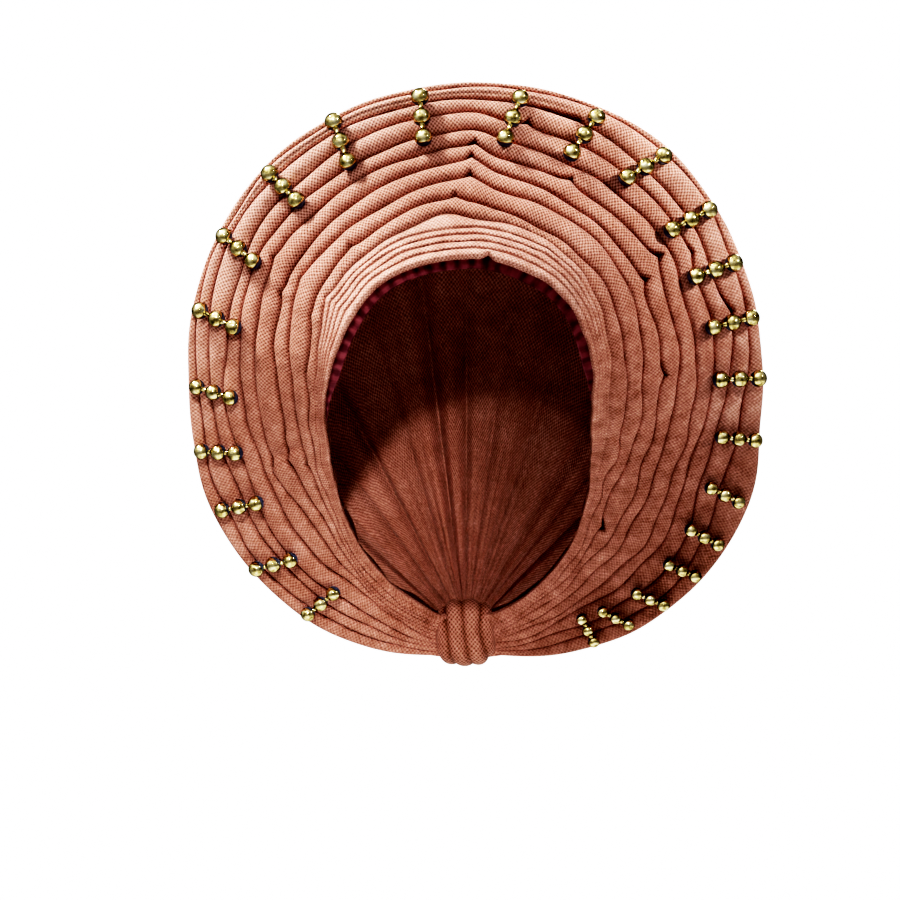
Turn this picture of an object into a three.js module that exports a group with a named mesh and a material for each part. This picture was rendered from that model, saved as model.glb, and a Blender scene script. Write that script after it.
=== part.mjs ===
// Tied gele head tie: a fan of rolled pleats round the face, a close-folded brow band, a dark inner
// band, a back wrap gathered to a nape knot, and short rows of gold beads along the fan's rim.
// Millimetres, +Z up, the face looks along -Y. The origin is the centre of the head opening.
import * as THREE from "three";
import { mergeVertices } from "three/addons/utils/BufferGeometryUtils.js";

// Driving dimensions
const BROW_DEPTH_TOP = -80; // y of the brow band's edge over the forehead
const BROW_DEPTH_NAPE = 60; // y of the same edge behind the neck
const BROW_SWEEP = 2.2; // how late the edge sweeps back on its way down
const RIM_DEPTH_TOP = -22;
const RIM_DEPTH_NAPE = 72;
const RIM_SWEEP = 2.47;
const FLARE = 1.4; // above 1, the fan leans back most near the brow
const FAN_END = 172; // clock angle where the fan runs into the nape knot
const FAN_STEPS = 33;
const SEEN_FROM = 3200; // the sections are as seen from this far in front, and placed() undoes that
const CLOTH = 2.0; // folded cloth wall
const ROLL_RISE_SHARE = 0.45; // height of a rolled pleat over its width
const ROLL_RISE_MOST = 4.5;
const RIM_CURL = 4.0; // how far the rim turns back
const GAP = 0.3; // clearance between neighbouring pieces

const BAND_WALL = 2.2;
const BAND_FOLD_RISE = 0.9;
const BAND_FOLD_SHARES = [0.22, 0.43, 0.6, 0.8]; // fold lines across the brow band

const INNER_BAND_SHOWS = 6.2; // how far the inner band stands in from the brow band's edge
const INNER_BAND_WALL = 1.6;
const INNER_BAND_CLOCKS = [-102, 92]; // the temples between which it shows

const KNOT = { x: 0, y: 74, z: -118 };
const KNOT_HALF = { x: 15.4, y: 17, z: 17 };
const KNOT_SQUARENESS = 3;

const WRAP_WALL = 1.6;
const WRAP_END = 166;
const WRAP_GATHERS = 13;
const WRAP_STEPS_PER_GATHER = 3;
const WRAP_STATIONS = 7;
const WRAP_GATHER_RISE = 2.6;
const WRAP_CROWN_REACH = 123; // how far the wrap bellies back off the rim over the crown
const WRAP_NAPE_REACH = 83; // how far it bellies back above the knot

const BEAD_SIDES = 10;
const BEAD_NECK_DEG = 20; // half angle of the thread's neck, seen from the bead's centre

// The fan's fold lines, in mm from the opening's centre, seen from the front. A row for each section, by
// clock angle: 0 is up and positive turns towards +X. Brow is the inner edge, a to i are the creases.
const FOLD_LINES = ["brow", "a", "b", "c", "d", "e", "f", "g", "h", "i", "rim"];
const SECTIONS = [
  //clock brow   a      b      c      d      e      f      g      h      i      rim
  [-172, 108.0, 110.0, 112.0, 114.0, 116.0, 118.0, 120.0, 122.0, 124.0, 126.0, 128.5],
  [-150, 94.0, 96.5, 99.0, 101.3, 103.6, 105.8, 108.0, 116.5, 122.0, 128.0, 134.5],
  [-130, 82.0, 84.0, 86.0, 88.5, 92.0, 98.0, 107.0, 117.0, 122.5, 131.0, 136.5],
  [-110, 74.0, 77.0, 80.5, 84.5, 92.0, 101.0, 106.5, 115.0, 122.0, 131.5, 138.7],
  [-90, 71.5, 75.0, 78.5, 85.0, 92.0, 103.0, 110.0, 119.5, 126.5, 133.0, 138.3],
  [-70, 70.0, 78.0, 82.5, 93.0, 100.5, 110.0, 119.0, 124.5, 135.0, 142.0, 144.7],
  [-54, 71.0, 84.5, 90.5, 100.5, 107.0, 117.5, 126.0, 133.0, 143.5, 147.5, 150.0],
  [-38, 72.5, 87.0, 93.5, 102.5, 110.5, 119.5, 127.8, 136.5, 146.5, 152.5, 154.7],
  [-22, 71.7, 88.5, 96.5, 104.5, 113.5, 122.2, 130.0, 140.2, 148.5, 154.3, 156.7],
  [-6, 71.0, 92.0, 100.0, 108.7, 117.0, 124.7, 133.0, 142.7, 149.7, 155.7, 158.0],
  [2, 71.5, 89.5, 97.5, 109.0, 118.5, 125.7, 134.0, 143.0, 150.0, 156.8, 159.0],
  [8, 74.0, 89.0, 95.7, 105.2, 114.0, 121.5, 130.5, 140.0, 150.0, 157.2, 159.5],
  [22, 71.2, 89.0, 93.0, 103.0, 110.5, 119.0, 128.0, 138.5, 149.0, 158.3, 160.5],
  [38, 71.5, 86.0, 91.0, 102.0, 108.5, 117.0, 126.7, 137.0, 145.5, 158.7, 161.5],
  [53, 70.0, 81.7, 88.5, 98.5, 106.0, 117.0, 125.5, 134.5, 142.2, 154.0, 157.5],
  [62, 68.0, 78.2, 85.5, 95.0, 102.0, 112.0, 120.5, 130.0, 138.5, 149.5, 155.0],
  [78, 66.0, 73.5, 81.0, 90.2, 99.0, 108.0, 117.5, 126.0, 135.0, 144.5, 150.5],
  [94, 63.5, 71.5, 79.5, 87.2, 95.5, 103.5, 112.2, 119.5, 127.5, 137.0, 147.7],
  [110, 67.0, 73.0, 80.0, 86.0, 94.0, 101.0, 110.0, 116.5, 124.0, 134.0, 151.0],
  [128, 77.5, 80.0, 83.0, 88.5, 98.0, 104.5, 114.5, 121.0, 130.5, 139.5, 147.5],
  [146, 91.0, 93.5, 96.0, 99.0, 103.0, 108.5, 114.0, 119.0, 127.0, 133.5, 141.7],
  [172, 108.0, 110.0, 112.0, 114.0, 116.0, 118.0, 120.0, 122.0, 124.0, 126.0, 128.5],
];

// The bead rows, one for each strand of three: the rim bead's clock angle, how far it sits in from
// the rim, the reach from the rim bead to the inner bead, how the strand leans, and the bead's size.
const BEAD_ROWS = [
  { clock: -143.5, inset: 3.0, reach: 15.5, lean: -2.0, bead: 7.5 },
  { clock: -128.8, inset: 2.5, reach: 15.5, lean: -3.5, bead: 8.0 },
  { clock: -114.3, inset: 5.0, reach: 16.5, lean: -1.9, bead: 8.0 },
  { clock: -101.0, inset: 4.0, reach: 16.0, lean: -2.0, bead: 8.0 },
  { clock: -87.3, inset: 4.5, reach: 16.5, lean: -2.2, bead: 8.0 },
  { clock: -71.5, inset: 4.2, reach: 18.2, lean: -1.2, bead: 8.5 },
  { clock: -56.0, inset: 3.7, reach: 18.7, lean: -1.0, bead: 8.5 },
  { clock: -41.0, inset: 4.7, reach: 18.5, lean: 0.5, bead: 9.0 },
  { clock: -25.5, inset: 2.8, reach: 21.0, lean: -1.0, bead: 9.0 },
  { clock: -8.7, inset: 5.0, reach: 20.2, lean: -0.6, bead: 9.0 },
  { clock: 10.2, inset: 7.0, reach: 20.7, lean: -1.7, bead: 9.0 },
  { clock: 24.8, inset: 5.7, reach: 21.0, lean: -1.6, bead: 9.0 },
  { clock: 39.0, inset: 5.0, reach: 19.5, lean: -3.0, bead: 9.0 },
  { clock: 52.0, inset: 4.2, reach: 20.2, lean: -1.5, bead: 9.0 },
  { clock: 63.0, inset: 4.7, reach: 19.7, lean: -1.2, bead: 9.0 },
  { clock: 74.0, inset: 3.5, reach: 19.2, lean: -0.3, bead: 8.5 },
  { clock: 85.8, inset: 2.3, reach: 18.7, lean: -0.3, bead: 8.5 },
  { clock: 98.0, inset: 2.5, reach: 16.5, lean: 0.3, bead: 7.5 },
  { clock: 110.5, inset: 5.7, reach: 15.0, lean: -0.7, bead: 7.0 },
  { clock: 119.8, inset: 4.7, reach: 15.0, lean: 0.2, bead: 7.0 },
  { clock: 127.5, inset: 3.2, reach: 13.7, lean: 1.5, bead: 6.5 },
  { clock: 136.0, inset: 3.2, reach: 13.0, lean: 2.5, bead: 6.5 },
  { clock: 144.0, inset: 4.2, reach: 12.5, lean: 3.0, bead: 6.0 },
  { clock: 152.0, inset: 2.7, reach: 12.5, lean: 0.0, bead: 6.0 },
];

const radians = THREE.MathUtils.degToRad;
const clothColour = new THREE.MeshStandardMaterial({ color: 0xc07a62, roughness: 0.75, metalness: 0 });
const bandColour = new THREE.MeshStandardMaterial({ color: 0x4a1420, roughness: 0.9, metalness: 0 });
const goldColour = new THREE.MeshStandardMaterial({ color: 0xc9a63c, roughness: 0.2, metalness: 1 });

// Fold radius at a clock angle, on a smooth cubic through the sections.
function foldRadius(name, clock) {
  const column = FOLD_LINES.indexOf(name) + 1;
  const last = SECTIONS.length - 1;
  let k = 0;
  while (k < last - 1 && SECTIONS[k + 1][0] < clock) k += 1;
  const slopeAt = (n) => {
    const before = SECTIONS[Math.max(n - 1, 0)];
    const after = SECTIONS[Math.min(n + 1, last)];
    return (after[column] - before[column]) / (after[0] - before[0]);
  };
  const span = SECTIONS[k + 1][0] - SECTIONS[k][0];
  const t = (clock - SECTIONS[k][0]) / span;
  const start = SECTIONS[k][column];
  const end = SECTIONS[k + 1][column];
  const rise = (end - start) * t * t * (3 - 2 * t);
  const ease = span * (slopeAt(k) * t * (1 - t) ** 2 - slopeAt(k + 1) * t * t * (1 - t));
  return start + rise + ease;
}

// Share of the way from the crown down to the nape.
function downward(clock) {
  return (1 - Math.cos(radians(clock))) / 2;
}

// Depth of the fan's smooth base surface at a clock angle and radius.
function baseDepth(clock, radius) {
  const brow = foldRadius("brow", clock);
  const rim = foldRadius("rim", clock);
  const browDepth = BROW_DEPTH_TOP + (BROW_DEPTH_NAPE - BROW_DEPTH_TOP) * downward(clock) ** BROW_SWEEP;
  const rimDepth = RIM_DEPTH_TOP + (RIM_DEPTH_NAPE - RIM_DEPTH_TOP) * downward(clock) ** RIM_SWEEP;
  const t = (radius - brow) / (rim - brow);
  return browDepth + (rimDepth - browDepth) * (1 - Math.max(1 - t, 0) ** FLARE);
}

// The point at a clock angle, seen radius and depth.
function placed(clock, radius, depth) {
  const real = radius * (1 + depth / SEEN_FROM);
  return new THREE.Vector3(real * Math.sin(radians(clock)), depth, real * Math.cos(radians(clock)));
}

// A point of a section that stands a given height off the base surface, in the section's own plane.
function onSection(clock, radius, height) {
  const step = 0.5;
  const slope = (baseDepth(clock, radius) - baseDepth(clock, radius - step)) / step;
  const length = Math.hypot(1, slope);
  return placed(clock, radius + (slope / length) * height, baseDepth(clock, radius) - height / length);
}

// The same, with the radius taken where the standing point is seen and not at its foot.
function seenStanding(clock, radius, height) {
  const foot = onSection(clock, radius, height);
  const seen = Math.hypot(foot.x, foot.z) / (1 + foot.y / SEEN_FROM);
  return onSection(clock, 2 * radius - seen, height);
}

// A closed solid lofted through section loops of equal length, capped at both ends.
function loftSolid(loops) {
  const count = loops[0].length;
  const points = loops.flat();
  const faces = [];
  for (let k = 0; k + 1 < loops.length; k += 1) {
    for (let j = 0; j < count; j += 1) {
      const next = (j + 1) % count;
      const [p, q] = [k * count + j, k * count + next];
      faces.push(p, p + count, q, q, p + count, q + count);
    }
  }
  faces.push(...capFaces(loops[0], 0, true), ...capFaces(loops.at(-1), points.length - count, false));
  return solidGeometry(points, faces);
}

// Triangles over one end loop, worked out in the loop's own plane.
function capFaces(loop, first, reversed) {
  const origin = loop[0];
  const along = loop[Math.floor(loop.length / 2)].clone().sub(origin).normalize();
  const normal = new THREE.Vector3();
  loop.forEach((p, j) => {
    const q = loop[(j + 1) % loop.length];
    normal.add(p.clone().sub(origin).cross(q.clone().sub(origin)));
  });
  const across = normal.normalize().clone().cross(along);
  const flat = loop.map((p) => {
    const from = p.clone().sub(origin);
    return new THREE.Vector2(from.dot(along), from.dot(across));
  });
  const triangles = THREE.ShapeUtils.triangulateShape(flat, []);
  return triangles.flatMap(([a, b, c]) => (reversed ? [a, b, c] : [a, c, b]).map((j) => first + j));
}

// A geometry with its faces turned outwards.
function solidGeometry(points, faces) {
  let volume = 0;
  for (let n = 0; n < faces.length; n += 3) {
    const [a, b, c] = [points[faces[n]], points[faces[n + 1]], points[faces[n + 2]]];
    volume += a.dot(b.clone().cross(c));
  }
  if (volume < 0) faces.reverse();
  const geometry = new THREE.BufferGeometry().setFromPoints(points);
  geometry.setIndex(faces);
  geometry.computeVertexNormals();
  return geometry;
}

function evenClocks(from, to, steps) {
  return Array.from({ length: steps + 1 }, (_, n) => from + ((to - from) * n) / steps);
}

function rollRise(width) {
  return Math.min(width * ROLL_RISE_SHARE, ROLL_RISE_MOST);
}

// The pleated fan: rolled pleats between the creases, in front and behind a cloth wall.
function pleatedFan() {
  const creases = FOLD_LINES.slice(1);
  const shoulder = { at: 0.24, height: 0.93 };
  const loops = evenClocks(-FAN_END, FAN_END, FAN_STEPS).map((clock) => {
    const front = [];
    const back = [];
    for (let k = 0; k + 1 < creases.length; k += 1) {
      const inner = foldRadius(creases[k], clock) + (k === 0 ? GAP / 2 : 0);
      const width = foldRadius(creases[k + 1], clock) - inner;
      const height = rollRise(width) * shoulder.height;
      front.push(onSection(clock, inner, 0));
      front.push(onSection(clock, inner + width * shoulder.at, height));
      front.push(onSection(clock, inner + width * (1 - shoulder.at), height));
      back.unshift(onSection(clock, inner, -CLOTH));
      back.unshift(onSection(clock, inner + width / 2, height - CLOTH));
    }
    const rim = foldRadius("rim", clock);
    const depth = baseDepth(clock, rim);
    front.push(placed(clock, rim, depth), placed(clock, rim - CLOTH / 4, depth + RIM_CURL));
    back.unshift(placed(clock, rim - CLOTH, depth + RIM_CURL));
    return [...front, ...back];
  });
  return loftSolid(loops);
}

// The brow band: narrow folds stacked like steps round the face opening.
function browBand() {
  const shares = [0, ...BAND_FOLD_SHARES, 1];
  const loops = evenClocks(-FAN_END, FAN_END, FAN_STEPS).map((clock) => {
    const inner = foldRadius("brow", clock);
    const width = foldRadius("a", clock) - GAP / 2 - inner;
    const front = [];
    for (let k = 0; k + 1 < shares.length; k += 1) {
      front.push(onSection(clock, inner + width * shares[k], BAND_FOLD_RISE));
      front.push(onSection(clock, inner + width * (shares[k + 1] - 0.02), 0));
    }
    const back = [onSection(clock, inner + width, -BAND_WALL), onSection(clock, inner, -BAND_WALL)];
    return [...front, ...back];
  });
  return loftSolid(loops);
}

// The inner band: a dark strip sewn behind the brow band, from temple to temple.
function innerBand() {
  const [from, to] = INNER_BAND_CLOCKS;
  const clocks = evenClocks(-FAN_END, FAN_END, FAN_STEPS).filter((clock) => clock > from && clock < to);
  const loops = clocks.map((clock) => {
    const brow = foldRadius("brow", clock);
    const seam = onSection(clock, brow + BAND_WALL, -BAND_WALL - GAP);
    const edge = placed(clock, brow - INNER_BAND_SHOWS, seam.y + 1);
    const behind = new THREE.Vector3(0, INNER_BAND_WALL, 0);
    return [seam, edge, edge.clone().add(behind), seam.clone().add(behind)];
  });
  return loftSolid(loops);
}

const knotCentre = new THREE.Vector3(KNOT.x, KNOT.y, KNOT.z);

// Distance from the knot's centre to its skin along a unit direction.
function knotSkin(direction) {
  const sum =
    Math.abs(direction.x / KNOT_HALF.x) ** KNOT_SQUARENESS +
    Math.abs(direction.y / KNOT_HALF.y) ** KNOT_SQUARENESS +
    Math.abs(direction.z / KNOT_HALF.z) ** KNOT_SQUARENESS;
  return sum ** (-1 / KNOT_SQUARENESS);
}

// The nape knot: one plain rounded lump that holds the ends.
function napeKnot() {
  const geometry = new THREE.SphereGeometry(1, 14, 9);
  const position = geometry.attributes.position;
  for (let n = 0; n < position.count; n += 1) {
    const direction = new THREE.Vector3().fromBufferAttribute(position, n).normalize();
    direction.multiplyScalar(knotSkin(direction)).add(knotCentre);
    position.setXYZ(n, direction.x, direction.y, direction.z);
  }
  geometry.deleteAttribute("normal");
  geometry.deleteAttribute("uv");
  return mergeVertices(geometry);
}

// The back wrap's smooth surface: from the rim at a clock angle, at share 0, to the knot, at share 1.
function wrapSurface(clock, share) {
  const rim = foldRadius("rim", clock);
  const start = placed(clock, rim - CLOTH / 2, baseDepth(clock, rim) + RIM_CURL + GAP);
  const outward = start.clone().sub(knotCentre).normalize();
  const end = outward.clone().multiplyScalar(knotSkin(outward) + GAP).add(knotCentre);
  const crown = foldRadius("rim", 0);
  const longest = Math.hypot(crown - KNOT.z, RIM_DEPTH_TOP - KNOT.y);
  const reach = start.distanceTo(end) / longest;
  const backward = new THREE.Vector3(0, reach, 0);
  const belly = start.clone().addScaledVector(backward, WRAP_CROWN_REACH);
  const draw = end.clone().lerp(start, 0.28).addScaledVector(backward, WRAP_NAPE_REACH);
  return new THREE.CubicBezierCurve3(start, belly, draw, end).getPoint(share);
}

// The back wrap: a cloth wall drawn from the rim to the knot, in gathers that fade at the rim.
function backWrap() {
  const sections = WRAP_GATHERS * WRAP_STEPS_PER_GATHER;
  const loops = evenClocks(-WRAP_END, WRAP_END, sections).map((clock, n) => {
    const wave = Math.cos((2 * Math.PI * n) / WRAP_STEPS_PER_GATHER);
    const outer = [];
    const inner = [];
    for (let j = 0; j <= WRAP_STATIONS; j += 1) {
      const share = j / WRAP_STATIONS;
      const middle = Math.min(Math.max(share, 0.01), 0.99);
      const along = wrapSurface(clock, middle + 0.01).sub(wrapSurface(clock, middle - 0.01));
      const round = wrapSurface(clock + 0.5, share).sub(wrapSurface(clock - 0.5, share));
      const normal = round.cross(along).normalize();
      const gather = WRAP_GATHER_RISE * wave * Math.sin(Math.PI * share ** 1.5);
      const point = wrapSurface(clock, share).addScaledVector(normal, gather);
      outer.push(point);
      inner.unshift(point.clone().addScaledVector(normal, -WRAP_WALL));
    }
    return [...outer, ...inner];
  });
  return loftSolid(loops);
}

// Least distance from a point to the faces of a geometry.
function clearance(point, geometry) {
  const corner = (n) => new THREE.Vector3().fromBufferAttribute(geometry.attributes.position, n);
  const face = new THREE.Triangle();
  const nearest = new THREE.Vector3();
  let least = Infinity;
  for (let n = 0; n < geometry.index.count; n += 3) {
    const [a, b, c] = [0, 1, 2].map((k) => corner(geometry.index.getX(n + k)));
    face.set(a, b, c).closestPointToPoint(point, nearest);
    least = Math.min(least, nearest.distanceTo(point));
  }
  return least;
}

// Turned profile of three beads joined by short necks of thread, along +Y from the rim bead's centre.
function strandProfile(bead, pitch) {
  const stations = [BEAD_NECK_DEG, 54, 90, 126, 180 - BEAD_NECK_DEG];
  const profile = [];
  [0, 1, 2].forEach((n) => {
    stations.forEach((degrees) => {
      const turn = radians(degrees);
      profile.push(new THREE.Vector2((bead / 2) * Math.sin(turn), n * pitch - (bead / 2) * Math.cos(turn)));
    });
  });
  profile[0].set(0, -bead / 2);
  profile.at(-1).set(0, 2 * pitch + bead / 2);
  return profile;
}

// One strand of three beads on a straight thread, let down onto the pleats until it just clears them.
function beadRow({ clock, inset, reach, lean, bead }, fan) {
  const outerRadius = foldRadius("rim", clock) - inset;
  const centresAt = (height) => {
    const first = seenStanding(clock, outerRadius, height);
    const last = seenStanding(clock + lean, outerRadius - reach, height);
    return [first, first.clone().lerp(last, 0.5), last];
  };
  let height = 2 * ROLL_RISE_MOST + bead;
  for (let pass = 0; pass < 4; pass += 1) {
    const room = Math.min(...centresAt(height).map((centre) => clearance(centre, fan)));
    height -= room - bead / 2 - GAP;
  }
  const [first, , last] = centresAt(height);
  const along = last.clone().sub(first);
  const profile = strandProfile(bead, along.length() / 2);
  const mesh = new THREE.Mesh(new THREE.LatheGeometry(profile, BEAD_SIDES), goldColour.clone());
  mesh.position.copy(first);
  mesh.quaternion.setFromUnitVectors(new THREE.Vector3(0, 1, 0), along.normalize());
  return mesh;
}

function named(mesh, name) {
  mesh.name = name;
  return mesh;
}

const fanGeometry = pleatedFan();
const gele = new THREE.Group();
gele.name = "gele";
gele.add(named(new THREE.Mesh(fanGeometry, clothColour.clone()), "pleated_fan"));
gele.add(named(new THREE.Mesh(browBand(), clothColour.clone()), "brow_band"));
gele.add(named(new THREE.Mesh(innerBand(), bandColour.clone()), "inner_band"));
gele.add(named(new THREE.Mesh(backWrap(), clothColour.clone()), "back_wrap"));
gele.add(named(new THREE.Mesh(napeKnot(), clothColour.clone()), "nape_knot"));
BEAD_ROWS.forEach((row, n) => {
  gele.add(named(beadRow(row, fanGeometry), `bead_row_${String(n + 1).padStart(2, "0")}`));
});

export default gele;
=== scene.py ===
"""Tied gele head tie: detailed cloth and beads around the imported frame. Tables are in mm, Blender in m."""

import math

import bpy
import numpy as np
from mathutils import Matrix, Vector


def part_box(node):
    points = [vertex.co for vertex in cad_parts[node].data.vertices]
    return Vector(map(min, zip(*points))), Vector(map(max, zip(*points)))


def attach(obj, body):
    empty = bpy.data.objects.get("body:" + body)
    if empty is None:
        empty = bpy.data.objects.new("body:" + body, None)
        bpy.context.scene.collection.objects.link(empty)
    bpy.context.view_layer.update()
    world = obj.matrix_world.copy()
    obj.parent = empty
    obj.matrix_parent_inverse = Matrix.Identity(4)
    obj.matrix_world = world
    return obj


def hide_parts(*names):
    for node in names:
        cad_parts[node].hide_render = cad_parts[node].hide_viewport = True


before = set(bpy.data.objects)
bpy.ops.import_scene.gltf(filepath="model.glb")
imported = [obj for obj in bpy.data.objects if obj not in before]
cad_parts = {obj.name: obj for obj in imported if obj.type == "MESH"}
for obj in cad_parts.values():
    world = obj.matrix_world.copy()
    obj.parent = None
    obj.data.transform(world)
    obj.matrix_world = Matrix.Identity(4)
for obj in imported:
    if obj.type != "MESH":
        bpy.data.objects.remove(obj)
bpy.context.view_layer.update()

MM = 0.001

# Driving dimensions, the same as the solids'
BROW_DEPTH = {"top": -80, "nape": 60, "sweep": 2.2}
RIM_DEPTH = {"top": -22, "nape": 72, "sweep": 2.47}
FLARE = 1.4  # above 1, the fan leans back most near the brow
SEEN_FROM = 3200  # the sections are as seen from this far in front, and placed() undoes that
CLOTH = 2.0  # folded cloth wall
ROLL_RISE_SHARE = 0.45  # a roll's height, as a share of its width
ROLL_RISE_MOST = 4.5
RIM_CURL = 4.0  # how far the rim turns back
BAND_WALL = 2.2
INNER_BAND_SHOWS = 6.2  # how far the inner band stands in from the brow edge
INNER_BAND_WALL = 1.6
INNER_BAND_CLOCKS = (-102, 92)
KNOT = (0, 74, -118)  # its centre
KNOT_HALF = (15.4, 17, 17)
KNOT_SQUARENESS = 3
WRAP_WALL = 1.6
WRAP_CROWN_REACH = 123
WRAP_NAPE_REACH = 83

# The fan's detail, beyond the solid's
FAN_END = 175  # its ends run on into the knot
FAN_SECTIONS = 590
CLOCK_STEPS = 2000  # for spacing the sections
PINCH_CLOSER = 1.2  # how much closer together the sections are at a pinch
PINCH_BESIDE = 3.0  # and how near to it, in degrees
SLOPE_STEP = 0.5  # over which the base surface's slope is taken
ROLL_POINTS = 15
ROLL_LEAN = 1.05  # above 1, a roll is fullest on its side towards the rim
RISE_VARIES = 0.06  # share by which a roll's height varies on its way round
BACK_SHARES = (0, 0.2, 0.5)  # where the fan's back has points, across each roll
RIM_TURNS = (0, 0.35, 0.7, 1)  # where the rim has points, round its curl
LEAST_ROLL = 1.2  # fold lines stay this far apart
FREE_ROOM = 9  # room beyond the first and last fold lines
WANDER_ROOM = 0.22  # the share of its room in which a fold line wanders
EDGE_SWAY = {"brow": 0.4, "rim": 0.4}  # the share of that for the two edges
WANDER_WAVES = 9  # how many waves a wandering line is made of
CREASE_WIDTH = 0.55
WIDE_ROLL = 8  # from this width on, a roll's slits have their full width
DEEP_ROLL = 7  # and from this width on, their full depth
POCKET_DEPTH = 6.0
POCKET_END = 1.0  # degrees in which a pocket closes past its pinch
POCKET_STEEP = 1.6  # above 1, a pocket has a flat floor
POCKET_LEAST = 0.01  # a pocket narrower than this is shut
# how much painted shade a pocket gets
POCKET_PAINTED_SHADE = 1.4
SPLIT_ROLL = "h"  # the roll with a shallow split along its top
SPLIT_REACH = {-60: 0, -45: 1, 15: 1, 25: 0}  # how much of the split there is, by clock angle
SPLIT_AT = 0.42  # where it runs and how wide it is, as shares of the roll's width
SPLIT_WIDTH = 0.07
SPLIT_DEPTH = 0.3  # as a share of the roll's height
# how much painted shade the split gets
SPLIT_PAINTED_SHADE = 0.3
RIPPLE_RISE = 0.4  # small waves along the rolls, and how strong they are by clock angle
RIPPLE = {-172: 0.8, -80: 0.4, 60: 0.3, 90: 1.1, 140: 1.1, 172: 0.5}
RIPPLE_WAVES = (30, 90)
BROW_NOTCH_CLOCKS = (2, 22)  # between these the brow edge runs straight, but for its notch

# The brow band's detail
BAND_FOLD_AT = (4.0, 7.6, 11.0, 14.2)  # its fold lines, from its edge
BAND_FIRST_FOLD = 0.4  # no fold line is nearer to the edge than this
BAND_FULL_WIDTH = 17.0  # where the band is narrower than this, its folds crowd together
BAND_FOLD_RISE = 1.5
BAND_POINTS = 8
BAND_LEAN = 0.75  # below 1, a fold is fullest on its side towards the face
BAND_SQUARENESS = 2.3
BAND_STEP = 0.35  # share of its height by which a fold steps down to the next
BAND_SWAY = 0.25
# fine lines of painted shade along the band's folds: their width and how dark they are
BAND_LINE_WIDTH = 0.35
BAND_LINE_PAINTED_SHADE = 0.3
BAND_TUCK = 1.0  # how far the band goes under the first roll
BAND_TUCK_DEPTH = 0.6
BAND_BACK_SHARES = (1, 0.5, 0.15, 0)
BAND_WEAVE = 0.4  # how open its weave is, as a share of the fan's

# How sharp the brow band's folds are, and how much painted light makes it lighter than the rolls, by clock
# angle
BAND_FOLDS = {-175: 0.5, -110: 0.9, 40: 1.0, 65: 0.45, 175: 0.35}
BAND_PAINTED_LIGHT = {-175: 0.1, -90: 0.25, -50: 0.38, 45: 0.38, 70: 0.15, 175: 0.1}

# The inner band's detail
INNER_BAND_SECTIONS = 360
INNER_BAND_STATIONS = 9
SEAM_INSET = 1  # from the brow edge, beyond the thickness of the brow band's wall
SEAM_GAP = 0.2  # between the seam and the back of that wall
EDGE_BEHIND_SEAM = 1
INNER_BAND_TAPERS = (22, 17)  # degrees in which it widens from its two ends
INNER_BAND_TIP = 0.15  # share of its width at the ends
INNER_BAND_SAG = 1.6
PLEAT_RISE = 0.55
PLEATS = 62  # in a full turn
PLEAT_STRAY = 1.5
PLEAT_STRAY_WAVES = (3, 9)
PLEAT_AT_EDGE = 0.25  # share of its height that a pleat keeps at the band's edges

# The back wrap's detail
CROWN_CLOCK = 2  # the top of the rim, where the wrap is longest
WRAP_END = 168
WRAP_SECTIONS = 520
WRAP_STATIONS = 70
WRAP_GAP = 0.1  # between the rim and the wrap
WRAP_TUCK = 1.5  # how far its end goes into the knot
WRAP_DRAW = 0.28  # where it is drawn in, as a share of the way from the knot to the rim
WRAP_STEP = 0.01  # share, and degrees, over which its slope is taken
WRAP_STEP_DEGREES = 0.5
WRAP_WEAVE = 0.65  # how open the weave of the wrap and the knot is
GATHERS = 22  # in a full turn
GATHER_RISE = 3.0
GATHER_ROUND = 0.7  # below 1, a gather is broad on top with a narrow valley
GATHER_MIDDLE = 1.1
GATHER_STRAY = 1.4
GATHER_STRAY_WAVES = (2, 7)
GATHER_VARIES = 0.3
GATHER_VARIES_WAVES = (3, 11)
GATHER_LATE = 1.5  # above 1, the gathers rise nearer to the knot than to the rim
GATHER_AT_KNOT = 0.25
SMALL_GATHERS = 2.3  # times as many small gathers
SMALL_SHARE = 0.35  # of the height
SMALL_STRAY = 1.2
SMALL_STRAY_WAVES = (3, 9)

# The knot's and the beads' detail
KNOT_RINGS = 72
KNOT_SIDES = 96
KNOT_POLE = 0.02  # radians left flat at each end of the knot
KNOT_FOLDS = {"across": 6.5, "up": 1.2, "sway": 0.4}  # how the folds advance, in radians
KNOT_FOLD_RISE = 1.8
KNOT_FOLD_ROUND = 0.6
KNOT_FOLD_MIDDLE = 0.7
# painted shade in the slits between the knot's folds, and a little over the whole knot
KNOT_PAINTED_SHADE = {"slits": 0.9, "all": 0.1, "narrow": 1.5}
BEAD_RINGS = 16
BEAD_SIDES = 32
BEAD_POLE = 0.03  # radians left flat at each end of a strand
LINK_RADIUS = 1.3
LINK_WAIST = 0.8  # share of its radius at the middle of a link

# Seeds of the irregularities. Rolls, folds and lines count on from theirs.
SEEDS = {"line": 100, "rise": 200, "ripple": 300, "band": 400, "pleat": 500,
         "gather": 600, "small gather": 601, "gather rise": 602}

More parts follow.
